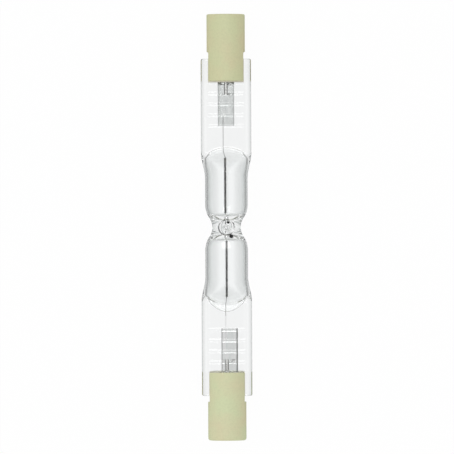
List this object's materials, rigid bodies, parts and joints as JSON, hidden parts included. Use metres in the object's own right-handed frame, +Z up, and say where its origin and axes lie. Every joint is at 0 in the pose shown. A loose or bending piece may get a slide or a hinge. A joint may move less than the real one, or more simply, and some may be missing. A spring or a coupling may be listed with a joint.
{
  "type": "linear halogen bulb",
  "caption": "Double-ended linear halogen bulb: waisted clear quartz tube with a coiled filament, flat pinched ends and slotted ceramic caps with recessed contacts.",
  "frame": {"origin": "middle of the lamp, on the axis of the quartz tube", "axes": "+X along the lamp towards the upper cap of the picture, Y across the flat pinches, +Z up through the tip-off pip"},
  "size_m": [0.078, 0.0092, 0.0078],
  "materials": {
    "quartz": "polished",
    "tungsten": "satin",
    "molybdenum": "satin",
    "lead_wire": "satin",
    "steatite": "matte",
    "contact_metal": "satin",
    "cement": "matte"
  },
  "bodies": {
    "root": {"quartz_envelope": "quartz", "filament": "tungsten", "foil_upper": "molybdenum", "foil_lower": "molybdenum", "outer_lead_upper": "lead_wire", "outer_lead_lower": "lead_wire", "end_cap_upper": "steatite", "end_cap_lower": "steatite", "contact_upper": "contact_metal", "contact_lower": "contact_metal", "cement_upper": "cement", "cement_lower": "cement"}
  },
  "joints": []
}
